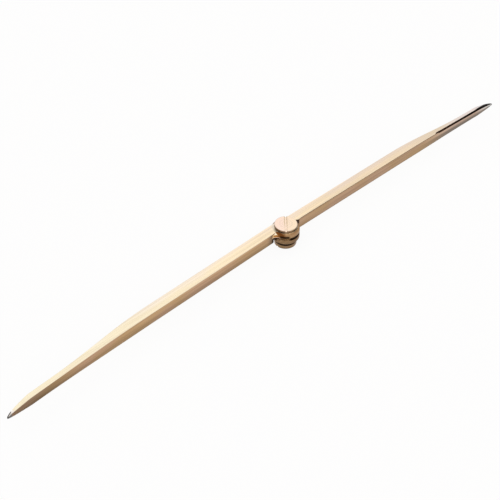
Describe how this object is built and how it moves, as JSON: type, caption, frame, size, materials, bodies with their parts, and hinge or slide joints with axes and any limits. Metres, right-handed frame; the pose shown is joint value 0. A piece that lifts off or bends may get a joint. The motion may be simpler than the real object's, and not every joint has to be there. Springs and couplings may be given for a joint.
{
  "type": "chart divider",
  "caption": "Straight brass chart divider with square tapering legs and steel points, hinged in a lap joint on a slotted screw, for stepping off distances.",
  "frame": {"origin": "on the pivot axis at the underside of the nut, which the divider lies on", "axes": "+X from the pivot towards the right leg's point as the legs lie open, +Y towards the outer sides of the legs, +Z along the pivot towards the screw head"},
  "size_m": [0.344, 0.0144, 0.0124],
  "materials": {
    "polished_brass": "polished, with fine lines along the legs",
    "turned_brass": "turned and polished",
    "point_steel": "ground to a point",
    "washer_bronze": "dull, darkened by use",
    "spring_steel": "dull"
  },
  "bodies": {
    "right_leg": {"right_leg": "polished_brass", "right_point": "point_steel", "pivot_nut": "turned_brass", "spring_washer": "spring_steel", "friction_washer": "washer_bronze"},
    "left_leg": {"left_leg": "polished_brass", "left_point": "point_steel"},
    "pivot_screw": {"pivot_screw": "turned_brass", "head_washer": "washer_bronze"}
  },
  "joints": [
    {"name": "leg_swing", "type": "hinge", "parent": "right_leg", "child": "left_leg", "pos_m": [0, 0, 0.0071], "axis": [0, 0, 1], "range_deg": [-1.4, 177.4]},
    {"name": "screw_turn", "type": "hinge", "parent": "right_leg", "child": "pivot_screw", "pos_m": [0, 0, 0.0111], "axis": [0, 0, 1], "range_deg": [-45, 45]}
  ]
}
